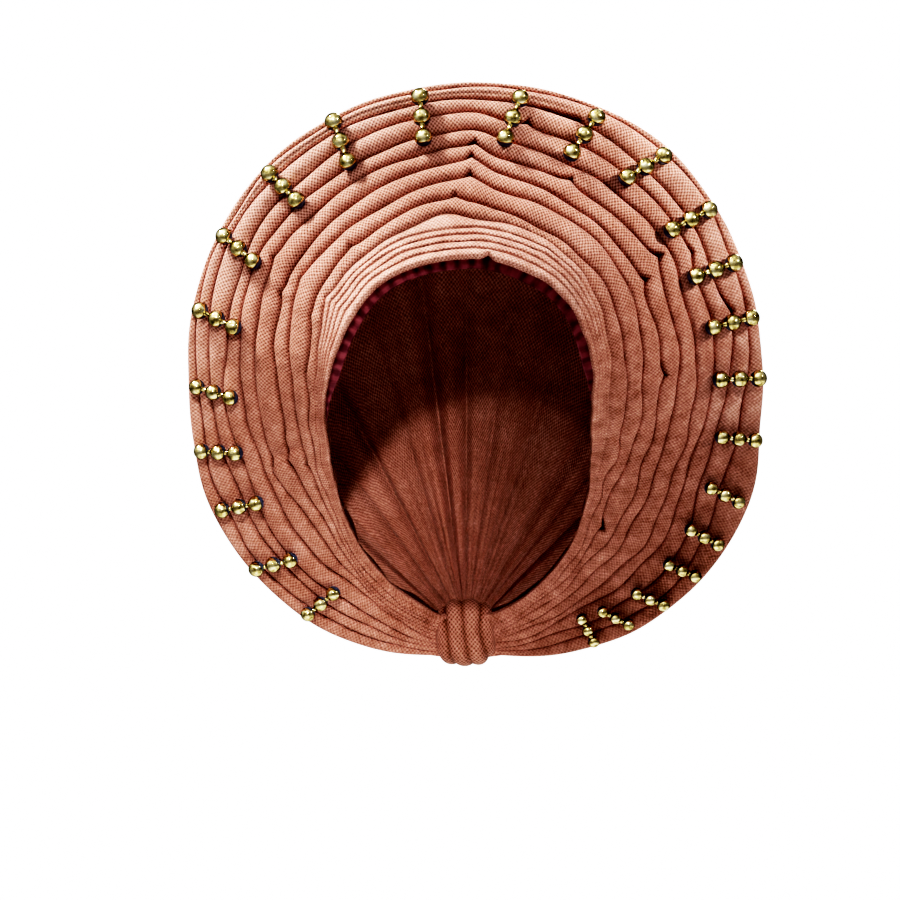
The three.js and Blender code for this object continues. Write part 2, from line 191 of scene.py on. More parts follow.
# The fan's fold lines, in mm from the opening's centre, seen from the front. A row for each section, by
# clock angle: 0 is up and positive turns towards +X. Brow is the inner edge, a to i are the creases.
FOLD_LINES = ["brow", "a", "b", "c", "d", "e", "f", "g", "h", "i", "rim"]
SECTIONS = np.array([
    # clock brow   a      b      c      d      e      f      g      h      i      rim
    [-172, 108.0, 110.0, 112.0, 114.0, 116.0, 118.0, 120.0, 122.0, 124.0, 126.0, 128.5],
    [-150, 94.0, 96.5, 99.0, 101.3, 103.6, 105.8, 108.0, 116.5, 122.0, 128.0, 134.5],
    [-130, 82.0, 84.0, 86.0, 88.5, 92.0, 98.0, 107.0, 117.0, 122.5, 131.0, 136.5],
    [-110, 74.0, 77.0, 80.5, 84.5, 92.0, 101.0, 106.5, 115.0, 122.0, 131.5, 138.7],
    [-90, 71.5, 75.0, 78.5, 85.0, 92.0, 103.0, 110.0, 119.5, 126.5, 133.0, 138.3],
    [-70, 70.0, 78.0, 82.5, 93.0, 100.5, 110.0, 119.0, 124.5, 135.0, 142.0, 144.7],
    [-54, 71.0, 84.5, 90.5, 100.5, 107.0, 117.5, 126.0, 133.0, 143.5, 147.5, 150.0],
    [-38, 72.5, 87.0, 93.5, 102.5, 110.5, 119.5, 127.8, 136.5, 146.5, 152.5, 154.7],
    [-22, 71.7, 88.5, 96.5, 104.5, 113.5, 122.2, 130.0, 140.2, 148.5, 154.3, 156.7],
    [-6, 71.0, 92.0, 100.0, 108.7, 117.0, 124.7, 133.0, 142.7, 149.7, 155.7, 158.0],
    [2, 71.5, 89.5, 97.5, 109.0, 118.5, 125.7, 134.0, 143.0, 150.0, 156.8, 159.0],
    [8, 74.0, 89.0, 95.7, 105.2, 114.0, 121.5, 130.5, 140.0, 150.0, 157.2, 159.5],
    [22, 71.2, 89.0, 93.0, 103.0, 110.5, 119.0, 128.0, 138.5, 149.0, 158.3, 160.5],
    [38, 71.5, 86.0, 91.0, 102.0, 108.5, 117.0, 126.7, 137.0, 145.5, 158.7, 161.5],
    [53, 70.0, 81.7, 88.5, 98.5, 106.0, 117.0, 125.5, 134.5, 142.2, 154.0, 157.5],
    [62, 68.0, 78.2, 85.5, 95.0, 102.0, 112.0, 120.5, 130.0, 138.5, 149.5, 155.0],
    [78, 66.0, 73.5, 81.0, 90.2, 99.0, 108.0, 117.5, 126.0, 135.0, 144.5, 150.5],
    [94, 63.5, 71.5, 79.5, 87.2, 95.5, 103.5, 112.2, 119.5, 127.5, 137.0, 147.7],
    [110, 67.0, 73.0, 80.0, 86.0, 94.0, 101.0, 110.0, 116.5, 124.0, 134.0, 151.0],
    [128, 77.5, 80.0, 83.0, 88.5, 98.0, 104.5, 114.5, 121.0, 130.5, 139.5, 147.5],
    [146, 91.0, 93.5, 96.0, 99.0, 103.0, 108.5, 114.0, 119.0, 127.0, 133.5, 141.7],
    [172, 108.0, 110.0, 112.0, 114.0, 116.0, 118.0, 120.0, 122.0, 124.0, 126.0, 128.5],
])

# Pinches, where a fold line peaks outwards and the roll outside it opens in a small pocket, sunk deep and
# painted dark as painted shade. Width is the peak's half width in degrees, pocket the pocket's width in mm,
# and tail the degrees in which the pocket widens up to the pinch.
PINCHES = [
    # fold, clock, peak, width, pocket, tail
    ("brow", 8.7, 2.6, 2.2, 0.0, 1.0),
    ("a", -54.0, 1.2, 2.5, 1.2, 3.0),
    ("a", -8.0, 0.8, 6.0, 0.0, 1.0),
    ("b", -62.0, 1.0, 2.5, 1.0, 3.0),
    ("b", -37.0, 0.8, 2.0, 1.8, 3.0),
    ("b", -3.0, 1.4, 2.0, 1.8, 3.0),
    ("c", -112.0, 1.0, 2.0, 1.0, 3.0),
    ("c", -54.0, 1.0, 2.0, 1.2, 3.0),
    ("c", 1.0, 1.6, 1.8, 2.4, 3.0),
    ("c", 133.0, 1.5, 2.0, 3.0, 3.0),
    ("d", -108.6, 1.2, 2.0, 1.2, 4.0),
    ("d", -60.0, 1.4, 1.6, 1.6, 3.0),
    ("d", 1.3, 2.0, 1.6, 2.6, 3.0),
    ("d", 56.5, 1.8, 1.8, 3.2, 3.0),
    ("d", 83.0, 2.0, 2.0, 2.0, 5.0),
    ("e", -110.5, 1.0, 2.0, 0.8, 3.0),
    ("e", -53.5, 1.4, 2.0, 1.6, 3.0),
    ("e", 2.0, 1.8, 1.8, 2.2, 3.5),
    ("e", 25.5, 2.0, 2.0, 2.2, 7.0),
    ("e", 53.5, 2.2, 1.8, 3.5, 3.5),
    ("g", 12.5, 2.0, 2.0, 2.4, 1.5),
    ("g", 57.0, 1.4, 2.0, 1.8, 4.0),
    ("h", 22.0, 0.5, 3.0, 2.6, 12.0),
    ("h", 71.5, 1.2, 2.2, 2.2, 6.0),
]

# Dips, where a roll sinks on its way round. Fold is its inner fold line, lost the share of its height that
# it loses, and width the half width in degrees.
DIPS = [
    # fold, clock, lost, width
    ("b", -111.0, 0.6, 2.5),
    ("c", -106.0, 0.8, 2.5),
    ("d", -106.5, 0.8, 2.5),
    ("e", -114.0, 0.6, 2.0),
    ("b", 112.0, 0.6, 4.0),
    ("c", 99.5, 0.7, 2.5),
    ("d", 95.0, 0.8, 2.2),
    ("e", 97.0, 0.5, 2.5),
    ("f", 116.0, 0.5, 2.0),
    ("f", 123.0, 0.8, 3.0),
    ("g", 134.0, 0.6, 3.0),
]

# How far the fold lines wander, in mm, by clock angle
WANDER = {-172: 0.4, -100: 0.4, -60: 0.3, 0: 0.2, 60: 0.35, 85: 0.5, 130: 0.6, 172: 0.4}

# How square the rolls' sections are, by clock angle: 2 is round
SQUARENESS = {-175: 2.6, -100: 2.6, -70: 2.3, -45: 2.0, 20: 2.0, 45: 2.2, 75: 2.5, 175: 2.6}

# How much of their full height the rolls have, by clock angle, and the inner rolls' share of that
FULLNESS = {-175: 0.9, -100: 1.0, 60: 1.0, 100: 0.9, 175: 0.8}
INNER_FULLNESS = {-175: 1.0, 30: 1.0, 75: 0.75, 118: 0.7, 136: 0.45, 175: 0.45}
INNER_ROLLS = "abcde"

# The slit between two rolls, by clock angle: its depth below the base surface in mm, and how much painted
# shade it gets
CREASE_DEPTH = {-175: 1.1, -120: 1.5, -70: 2.6, 0: 2.6, 25: 1.6, 75: 0.7, 175: 0.6}
PAINTED_CREASE_SHADE = {-175: 0.2, -120: 0.4, -70: 0.85, -40: 0.9, 0: 0.65, 25: 0.2, 65: 0.0, 175: 0.0}

# Towards the rim the cloth is painted lighter as painted light, or painted darker as painted shade where
# this is negative, by clock angle and by the share that each roll has of that. The slits are fainter there.
RIM_PAINTED_LIGHT = {
    -175: 0, -120: 0.1, -80: 0.25, -45: 0.45, 0: 0.3, 30: 0.15, 60: 0.35, 90: 0.4,
    110: 0, 130: -0.2, 150: -0.2, 175: 0,
}
RIM_SHARE = {"e": 0.15, "f": 0.4, "g": 0.75, "h": 1.0, "i": 1.0}
RIM_CREASES = {"e": 0.9, "f": 0.75, "g": 0.55, "h": 0.4, "i": 0.35}

# How open the fan's weave is, by clock angle: the cloth is stretched most over the top
# Where the weave is closed, the cloth is mottled and painted darker, as painted shade
OPEN_WEAVE = {
    -175: 0.25, -100: 0.35, -60: 0.9, -40: 1.0, 20: 1.0, 50: 0.6, 70: 0.25, 100: 0.15, 175: 0.1,
}

# The bead rows: the rim bead's clock angle, its inset from the rim, the reach to the inner bead, the
# strand's lean in degrees, and the bead's size.
BEAD_ROWS = [
    # clock, inset, reach, lean, bead
    (-143.5, 3.0, 15.5, -2.0, 7.5),
    (-128.8, 2.5, 15.5, -3.5, 8.0),
    (-114.3, 5.0, 16.5, -1.9, 8.0),
    (-101.0, 4.0, 16.0, -2.0, 8.0),
    (-87.3, 4.5, 16.5, -2.2, 8.0),
    (-71.5, 4.2, 18.2, -1.2, 8.5),
    (-56.0, 3.7, 18.7, -1.0, 8.5),
    (-41.0, 4.7, 18.5, 0.5, 9.0),
    (-25.5, 2.8, 21.0, -1.0, 9.0),
    (-8.7, 5.0, 20.2, -0.6, 9.0),
    (10.2, 7.0, 20.7, -1.7, 9.0),
    (24.8, 5.7, 21.0, -1.6, 9.0),
    (39.0, 5.0, 19.5, -3.0, 9.0),
    (52.0, 4.2, 20.2, -1.5, 9.0),
    (63.0, 4.7, 19.7, -1.2, 9.0),
    (74.0, 3.5, 19.2, -0.3, 8.5),
    (85.8, 2.3, 18.7, -0.3, 8.5),
    (98.0, 2.5, 16.5, 0.3, 7.5),
    (110.5, 5.7, 15.0, -0.7, 7.0),
    (119.8, 4.7, 15.0, 0.2, 7.0),
    (127.5, 3.2, 13.7, 1.5, 6.5),
    (136.0, 3.2, 13.0, 2.5, 6.5),
    (144.0, 4.2, 12.5, 3.0, 6.0),
    (152.0, 2.7, 12.5, 0.0, 6.0),
]

# The woven cloth's look. Sizes are in metres, noise in cells to the metre, and a shade is a place on the
# colour ramp. Where two values are given, they are for closed and for open weave.
WEAVE_SHIFT = 0.05  # sets the weave of neighbouring folds apart
THREAD_ALONG = 0.00098  # thread spacing
THREAD_ACROSS = 0.00124
THREAD_STRAY = 0.0007  # how far threads stray from their places
CLOTH_NOISE = {"stray": 220, "yarn": 900, "cloud": 28, "mottle": 140, "crumple": 150}
FINE_DETAIL = 3
MIDDLE_SHADE = 0.66
YARN_SHADE = 0.3  # the most that single yarns differ
CLOUD_SHADE = 0.15  # the most that broad patches differ
MOTTLE_PAINTED_SHADE = (-0.58, 0.12)  # darkest and lightest mottling, in closed weave alone, mostly painted shade
# painted highlight on the thread crowns
CROWN_PAINTED_HIGHLIGHT = (0.22, 0.14)
CROWN_NARROW = 2.0  # above 1, less of each thread is light or dark
# painted shade in the pits of the weave
PIT_PAINTED_SHADE = (0.06, 0.68)
PIT_NARROW = 3.0
# how strongly the mesh's painted shade and light darkens the cloth, or lightens it where negative
PAINTED_SHADE_STRENGTH = 0.55
CLOTH_ROUGHNESS = {"pit": 0.66, "crown": 0.52}
CRUMPLE_RISE = (3.8, 1.4)  # against a thread's rise of 1
YARN_RISE = 0.4
CLOTH_BUMP = {"strength": 0.6, "distance": 0.0004}
CLOTH_SURFACE = {
    "Sheen Weight": 0.04,
    "Sheen Roughness": 0.4,
    "Specular IOR Level": 0.35,
    "Specular Tint": (1, 0.66, 0.5, 1),
}
CLOTH_COLOURS = [
    (0.0, (0.10, 0.040, 0.022)),
    (0.3, (0.27, 0.118, 0.082)),
    (0.65, (0.52, 0.264, 0.210)),
    (1.0, (0.88, 0.55, 0.47)),
]

# The inner band's look
RIB_SPACING = 0.0016
# painted highlight on the rib tops
RIB_PAINTED_HIGHLIGHT = 0.04
PUCKER_SPACING = 0.0075
PUCKER_SHIFT = 0.006
# painted shade in stripes where the band puckers
PUCKER_PAINTED_SHADE = 0.16
DARK_BAND_NOISE = {"shift": 90, "painted_pucker_shade_and_blotch": 160}
DARK_BAND_BUMP = {"strength": 0.12, "distance": 0.0004}
DARK_BAND_SURFACE = {"Roughness": 0.85, "Sheen Weight": 0.15}
DARK_BAND_COLOURS = [(0.35, (0.13, 0.03, 0.042)), (0.7, (0.34, 0.10, 0.12))]

# The beads' look
GOLD_NOISE = {"wear_and_painted_reflection": 420, "dented": 600}
PAINTED_RIM_BACK = 0.45  # how much the side painted dark, as painted shade and reflection, turns to the back
PAINTED_RIM_FROM = 0.1
PAINTED_RIM_DARKER = 2.2
PAINTED_RIM_DULLER = 0.6
PAINTED_RIM_COVERS = 2.5  # how fast the bare metal goes under the painted dark rim
# patches painted lighter and darker, as painted reflection
PAINTED_REFLECTION_PATCHES = 1.2
WORN_DULLER = 0.10
GOLD_ROUGHNESS = 0.07
GOLD_BUMP = {"strength": 0.12, "distance": 0.0003}
GOLD_SURFACE = {"Specular IOR Level": 0.2, "Specular Tint": (0.10, 0.12, 0.2, 1)}
GOLD_COLOURS = [
    (0.12, (0.08, 0.088, 0.13)),
    (0.32, (0.15, 0.13, 0.09)),
    (0.48, (0.46, 0.37, 0.16)),
    (0.62, (0.82, 0.69, 0.36)),
    (0.80, (0.98, 0.90, 0.62)),
]

# The floor and the lights, in metres
FLOOR_RADIUS = 2.5
FLOOR_SIDES = 96
FLOOR_LEVEL = -0.45
FLOOR_NOISE = {"scale": 3, "detail": 4}
FLOOR_ROUGHNESS = 0.9
FLOOR_GLOW = 0.7  # keeps the floor pale without lighting the cloth from below
FLOOR_COLOURS = [(0.3, (0.66, 0.66, 0.65)), (0.7, (0.7, 0.7, 0.69))]
LIGHTS = [
    # name, place, aim, size, watts, spread in degrees
    ("key", (-1.5, -0.1, 2.2), (-0.05, -0.02, 0.08), 1.2, 5.1, 11),
    ("left", (-0.3, -2.6, 0.9), (-0.13, 0, -0.08), 0.3, 0.133, 5),
    ("right", (2.0, -1.3, 1.3), (0.1, 0, 0.11), 0.2, 0.1, 4),
    ("rear", (0.6, 2.2, 1.2), (0, 0.05, 0), 0.8, 0.7, 14),
]

# The backdrop's light by direction, for cloth and for polished metal. A level is the brightness at a share
# of the way round towards the brightest side.
WORLD_DIM = {"towards": (-0.6, -0.3, 0.74), "levels": [(0, 0.17), (0.9, 0.31)], "strength": 1.0}
WORLD_SHINE = {
    "towards": (-0.4, -0.45, 0.8),
    "levels": [(0, 0.08), (0.45, 0.18), (0.78, 0.32), (0.86, 0.85), (1.0, 1.0)],
    "strength": 1.8,
}

# The tone curve
TONE_WHITE = 1.4  # the light that shows as white
TONE_MIDDLE = 0.2
TONE_CONTRAST = 1.48
TONE_TOE = 0.05  # how far the deepest shades sink into black
TONE_LIGHTS = (0.01, 0.025, 0.05, 0.1, 0.2, 0.35, 0.6, 1.0, 1.4)

# The camera
LENS = 256  # mm
SENSOR = 36  # mm
CAMERA_PLACE = (-0.008, -SEEN_FROM * MM, -0.025)


# The base shape of the fan

def section_radius(name, clock):
    """Fold radius at clock angles, on a smooth cubic through the sections."""
    clock = np.asarray(clock, float)
    angles = SECTIONS[:, 0]
    values = SECTIONS[:, FOLD_LINES.index(name) + 1]
    last = len(angles) - 1
    before = np.maximum(np.arange(last + 1) - 1, 0)
    after = np.minimum(np.arange(last + 1) + 1, last)
    slopes = (values[after] - values[before]) / (angles[after] - angles[before])
    k = np.clip(np.searchsorted(angles, clock, side="left") - 1, 0, last - 1)
    span = angles[k + 1] - angles[k]
    t = np.clip((clock - angles[k]) / span, 0, 1)
    rise = (values[k + 1] - values[k]) * t * t * (3 - 2 * t)
    ease = span * (slopes[k] * t * (1 - t) ** 2 - slopes[k + 1] * t * t * (1 - t))
    return values[k] + rise + ease


def swept(depth, clock):
    """Depth of an edge that sweeps back from the top to the nape."""
    down = (1 - np.cos(np.radians(clock))) / 2
    return depth["top"] + (depth["nape"] - depth["top"]) * down ** depth["sweep"]


def base_depth(clock, radius):
    """Depth of the fan's smooth base surface."""
    brow = brow_level(clock)
    rim = section_radius("rim", clock)
    t = (radius - brow) / (rim - brow)
    lean = 1 - np.maximum(1 - t, 0) ** FLARE
    return swept(BROW_DEPTH, clock) + (swept(RIM_DEPTH, clock) - swept(BROW_DEPTH, clock)) * lean


def placed(clock, radius, depth):
    """Points at clock angles, seen radii and depths, in mm."""
    real = radius * (1 + depth / SEEN_FROM)
    turn = np.radians(clock)
    return np.stack([real * np.sin(turn), depth + 0 * real, real * np.cos(turn)], axis=-1)


def on_section(clock, radius, height):
    """Points that stand a given height off the base surface."""
    depth = base_depth(clock, radius)
    slope = (depth - base_depth(clock, radius - SLOPE_STEP)) / SLOPE_STEP
    length = np.hypot(1, slope)
    return placed(clock, radius + slope / length * height, depth - height / length)


def seen_standing(clock, radius, height):
    """The same, with the radius taken where the standing point is seen and not at its foot."""
    foot = on_section(clock, radius, height)
    seen = np.hypot(foot[..., 0], foot[..., 2]) / (1 + foot[..., 1] / SEEN_FROM)
    return on_section(clock, 2 * radius - seen, height)


# Small irregularities

def wander(seed, clock, fewest=5, most=26):
    """A smooth seeded waviness along the clock, of about unit size, from waves of which a full turn has
    between the fewest and the most."""
    rng = np.random.default_rng(seed)
    turns = rng.uniform(fewest, most, WANDER_WAVES)
    phases = rng.uniform(0, 2 * math.pi, WANDER_WAVES)
    return np.sin(np.radians(clock)[:, None] * turns + phases).sum(axis=1) / math.sqrt(WANDER_WAVES / 2)


def near(clock, centre, width):
    """A peak of height 1 at a clock angle, a quarter as high at the width and gone at twice the width."""
    return np.maximum(1 - np.abs(clock - centre) / (2 * width), 0) ** 2


def along_clock(table, clock):
    """A table's values at clock angles, on straight lines between its entries."""
    return np.interp(clock, list(table), list(table.values()))


def section_clocks():
    """Clock angles of the fan's sections, closer together at the pinches."""
    even = np.linspace(-FAN_END, FAN_END, CLOCK_STEPS)
    density = 1 + PINCH_CLOSER * np.max([near(even, pinch[1], PINCH_BESIDE) for pinch in PINCHES], axis=0)
    walked = np.concatenate([[0], np.cumsum((density[1:] + density[:-1]) / 2)])
    return np.interp(np.linspace(0, walked[-1], FAN_SECTIONS), walked, even)


def brow_level(clock):
    """Radius of the brow edge without its notch."""
    straight = np.interp(clock, BROW_NOTCH_CLOCKS, section_radius("brow", BROW_NOTCH_CLOCKS))
    beside = (clock > BROW_NOTCH_CLOCKS[0]) & (clock < BROW_NOTCH_CLOCKS[1])
    return np.where(beside, straight, section_radius("brow", clock))


def fold_lines(clock):
    """Radius of every fold line along the clock, with pinches and a little wandering, kept in order."""
    reach = along_clock(WANDER, clock)
    lines = {}
    for n, name in enumerate(FOLD_LINES):
        radius = brow_level(clock) if name == "brow" else section_radius(name, clock)
        inside = section_radius(FOLD_LINES[max(n - 1, 0)], clock)
        outside = section_radius(FOLD_LINES[min(n + 1, len(FOLD_LINES) - 1)], clock)
        below = np.where(inside < radius, radius - inside, FREE_ROOM)
        above = np.where(outside > radius, outside - radius, FREE_ROOM)
        room = np.minimum(below, above)
        stray = np.minimum(reach, WANDER_ROOM * room) * wander(SEEDS["line"] + n, clock)
        radius = radius + EDGE_SWAY.get(name, 1.0) * stray
        for fold, centre, peak, width, _, _ in PINCHES:
            if fold == name:
                radius = radius + peak * near(clock, centre, width)
        lines[name] = radius
    for inner, outer in zip(FOLD_LINES, FOLD_LINES[1:]):
        lines[outer] = np.maximum(lines[outer], lines[inner] + LEAST_ROLL)
    return lines


# Meshes

def weave_runs(loops, groups):
    """Where each quad's corners lie on the weave, in metres: along the middle line of the quad's group,
    and across from that line."""
    sections, count, _ = loops.shape
    ring = np.concatenate([loops, loops[:, :1]], axis=1)
    across_step = np.linalg.norm(np.diff(ring, axis=1), axis=2)
    across = np.concatenate([np.zeros((sections, 1)), np.cumsum(across_step, axis=1)], axis=1)
    along_step = np.linalg.norm(np.diff(loops, axis=0), axis=2)
    along = np.concatenate([np.zeros((1, count)), np.cumsum(along_step, axis=0)])
    middle = np.array([int(np.mean(np.flatnonzero(groups == g))) for g in groups])
    j = np.arange(count)
    near_end, far_end = slice(None, -1), slice(1, None)
    corners = []
    for end, side in ((near_end, j), (near_end, j + 1), (far_end, j + 1), (far_end, j)):
        offset = across[end, side] - across[end, middle] + WEAVE_SHIFT * groups
        corners.append(np.stack([along[end, middle], offset], axis=-1))
    return np.stack(corners, axis=2)


def lofted(name, loops, groups, material, painted_shade_and_light=None, open_weave=None):
    """A closed mesh through section loops in mm. A group of neighbouring loop segments shares one run of
    the weave. The painted shade and light gives each point's painted shade in creases, pockets and fold
    lines, or painted light where negative, and open_weave how open the weave is."""
    sections, count, _ = loops.shape
    loops = loops * MM
    j = np.arange(count)
    after = (j + 1) % count
    start = np.arange(sections - 1)[:, None] * count
    end = start + count
    quads = np.stack([start + j, start + after, end + after, end + j], axis=-1)
    first_cap = j[::-1]
    last_cap = (sections - 1) * count + j
    corners = np.concatenate([quads.reshape(-1), first_cap, last_cap])
    starts = np.concatenate([np.arange(0, quads.size, 4), [quads.size, quads.size + count]])
    uv = weave_runs(loops, np.asarray(groups))
    flat_uv = np.concatenate([uv.reshape(-1, 2), np.zeros((2 * count, 2))])
    mesh = bpy.data.meshes.new(name)
    mesh.vertices.add(sections * count)
    mesh.vertices.foreach_set("co", loops.reshape(-1))
    mesh.loops.add(len(corners))
    mesh.loops.foreach_set("vertex_index", corners.astype(np.int32))
    mesh.polygons.add(len(starts))
    mesh.polygons.foreach_set("loop_start", starts.astype(np.int32))
    mesh.uv_layers.new(name="weave").data.foreach_set("uv", flat_uv.reshape(-1))
    # The mesh carries its painted shade and light, and how open its weave is, as point attributes
    for label, values in (("painted_shade_and_light", painted_shade_and_light), ("open_weave", open_weave)):
        if values is not None:
            shares = mesh.attributes.new(label, "FLOAT", "POINT")
            shares.data.foreach_set("value", values.reshape(-1).astype(np.float32))
    mesh.update(calc_edges=True)
    if signed_volume(mesh) < 0:
        mesh.flip_normals()
    mesh.shade_smooth()
    mesh.materials.append(material)
    piece = bpy.data.objects.new(name, mesh)
    bpy.context.collection.objects.link(piece)
    return piece


def signed_volume(mesh):
    """Six times the mesh's volume, negative where its faces look inwards."""
    mesh.calc_loop_triangles()
    points = np.zeros(len(mesh.vertices) * 3, np.float32)
    mesh.vertices.foreach_get("co", points)
    corners = np.zeros(len(mesh.loop_triangles) * 3, np.int32)
    mesh.loop_triangles.foreach_get("vertices", corners)
    a, b, c = np.moveaxis(points.reshape(-1, 3)[corners.reshape(-1, 3)], 1, 0)
    return float((a * np.cross(b, c)).sum())


def roll_profile(points):
    """Shares across a roll, close together at its creases."""
    return (1 - np.cos(np.linspace(0, math.pi, points + 1))) / 2


def pocket_depth(share, clock, inner, width):
    """How deep each point lies in the pocket of a pinch: 0 outside it, 1 at its floor."""
    hole = 0 * clock
    for fold, centre, _, _, pocket, tail in PINCHES:
        if fold == inner:
            open_width = pocket * np.interp(clock, [centre - tail, centre, centre + POCKET_END], [0, 1, 0])
            hole = np.maximum(hole, 1 - share * width / np.maximum(open_width, POCKET_LEAST))
    return np.minimum(POCKET_STEEP * hole, 1)


def roll_height(share, clock, inner, width, rise, ripple):
    """Height across one roll of the fan, round on top with a slit at each crease and pockets at pinches,
    and its painted shade: painted shade in the slits, pockets and split, and painted light or shade towards
    the rim."""
    square = along_clock(SQUARENESS, clock)
    bulge = np.maximum(1 - np.abs(2 * share**ROLL_LEAN - 1) ** square, 0) ** (1 / square)
    height = rise * bulge + ripple * math.sin(math.pi * share) ** 2
    split = 0 * clock
    if inner == SPLIT_ROLL:
        split = along_clock(SPLIT_REACH, clock) * math.exp(-(((share - SPLIT_AT) / SPLIT_WIDTH) ** 2))
    edge = np.minimum(share, 1 - share) * width
    slit = np.exp(-((edge / (CREASE_WIDTH * np.minimum(width / WIDE_ROLL, 1))) ** 2))
    slit = slit * RIM_CREASES.get(inner, 1)
    slit_depth = along_clock(CREASE_DEPTH, clock) * np.minimum(width / DEEP_ROLL, 1)
    hole = pocket_depth(share, clock, inner, width)
    height = height - SPLIT_DEPTH * rise * split - slit_depth * slit - POCKET_DEPTH * hole
    # The slits, pockets and split are painted darker as painted shade, and the cloth towards the rim gets
    # painted light or shade
    painted_slit_shade = slit * along_clock(PAINTED_CREASE_SHADE, clock)
    painted_shade_and_light = np.maximum.reduce([painted_slit_shade, POCKET_PAINTED_SHADE * hole, SPLIT_PAINTED_SHADE * split])
    return height, painted_shade_and_light - along_clock(RIM_PAINTED_LIGHT, clock) * RIM_SHARE.get(inner, 0)


def roll_rise(n, inner, clock, width):
    """Full height of a roll along the clock."""
    varied = 1 + RISE_VARIES * wander(SEEDS["rise"] + n, clock)
    rise = np.minimum(width * ROLL_RISE_SHARE, ROLL_RISE_MOST) * varied
    rise = rise * along_clock(FULLNESS, clock)
    if inner in INNER_ROLLS:
        rise = rise * along_clock(INNER_FULLNESS, clock)
    for fold, centre, lost, half_width in DIPS:
        if fold == inner:
            rise = rise * (1 - lost * near(clock, centre, half_width))
    return rise


def make_fan(material):
    """The rolled pleats from the brow band to the rim, and the rim's curl."""
    clock = section_clocks()
    lines = fold_lines(clock)
    creases = FOLD_LINES[1:]
    ripple_reach = RIPPLE_RISE * along_clock(RIPPLE, clock)
    front, back, groups, painted_shade_and_light = [], [], [], []
    for n, (inner, outer) in enumerate(zip(creases, creases[1:])):
        low, width = lines[inner], lines[outer] - lines[inner]
        rise = roll_rise(n, inner, clock, width)
        ripple = ripple_reach * wander(SEEDS["ripple"] + n, clock, *RIPPLE_WAVES)
        for share in roll_profile(ROLL_POINTS)[:-1]:
            height, painted_darkness = roll_height(share, clock, inner, width, rise, ripple)
            front.append(on_section(clock, low + width * share, height))
            painted_shade_and_light.append(painted_darkness)
            groups.append(n)
        for share in BACK_SHARES:
            height, _ = roll_height(share, clock, inner, width, rise, ripple)
            back.insert(0, on_section(clock, low + width * share, height - CLOTH))
    rim = lines["rim"]
    depth = base_depth(clock, rim)
    last = groups[-1]
    for turn in RIM_TURNS:
        drop = CLOTH / 2 * turn**2
        front.append(placed(clock, rim - drop, depth + RIM_CURL * turn))
        # the rim's curl gets the same painted light or shade
        painted_shade_and_light.append(-along_clock(RIM_PAINTED_LIGHT, clock))
        groups.append(last)
    back.insert(0, placed(clock, rim - CLOTH, depth + RIM_CURL))
    groups += [last + 1] * len(back)
    painted_shade_and_light += [0 * clock] * len(back)
    loops = np.stack(front + back, axis=1)
    open_weave = np.repeat(along_clock(OPEN_WEAVE, clock)[:, None], loops.shape[1], axis=1)
    return lofted("pleated_fan_cloth", loops, groups, material, np.stack(painted_shade_and_light, axis=1), open_weave)


def make_brow_band(material):
    """The close folds along the brow edge, stepped down from the face towards the fan."""
    clock = section_clocks()
    lines = fold_lines(clock)
    inner = lines["brow"]
    width = lines["a"] - inner
    crowd = np.minimum((lines["a"] - brow_level(clock)) / BAND_FULL_WIDTH, 1)
    notch = np.maximum(inner - brow_level(clock), 0)
    folds = [np.maximum(at * crowd - notch, BAND_FIRST_FOLD) for at in BAND_FOLD_AT]
    edges = [0 * width, *folds, width + BAND_TUCK]
    sharp = along_clock(BAND_FOLDS, clock)
    painted_light = along_clock(BAND_PAINTED_LIGHT, clock)
    front, groups, painted_shade_and_light = [], [], []
    for n, (low, high) in enumerate(zip(edges, edges[1:])):
        sway = BAND_SWAY * wander(SEEDS["band"] + n, clock) * crowd
        for share in roll_profile(BAND_POINTS)[:-1]:
            bulge = max(1 - abs(2 * share**BAND_LEAN - 1) ** BAND_SQUARENESS, 0) ** (1 / BAND_SQUARENESS)
            height = BAND_FOLD_RISE * crowd * sharp * (bulge - BAND_STEP * share)
            at = low + (high - low) * share + (sway if n else 0) * (1 - share)
            front.append(on_section(clock, inner + at, height))
            edge = np.minimum(share if n else 1, 1 - share) * (high - low)
            # painted shade along the fold lines, and painted light over the whole band
            painted_shade_and_light.append(BAND_LINE_PAINTED_SHADE * sharp * np.exp(-((edge / BAND_LINE_WIDTH) ** 2)) - painted_light)
            groups.append(n)
    front.append(on_section(clock, inner + edges[-1], -BAND_TUCK_DEPTH))
    back = [on_section(clock, inner + width * share, -BAND_WALL) for share in BAND_BACK_SHARES]
    groups += [groups[-1]] + [len(edges)] * len(back)
    painted_shade_and_light += [0 * clock] * (1 + len(back))
    loops = np.stack(front + back, axis=1)
    open_weave = np.repeat(BAND_WEAVE * along_clock(OPEN_WEAVE, clock)[:, None], loops.shape[1], axis=1)
    return lofted("brow_band_cloth", loops, groups, material, np.stack(painted_shade_and_light, axis=1), open_weave)


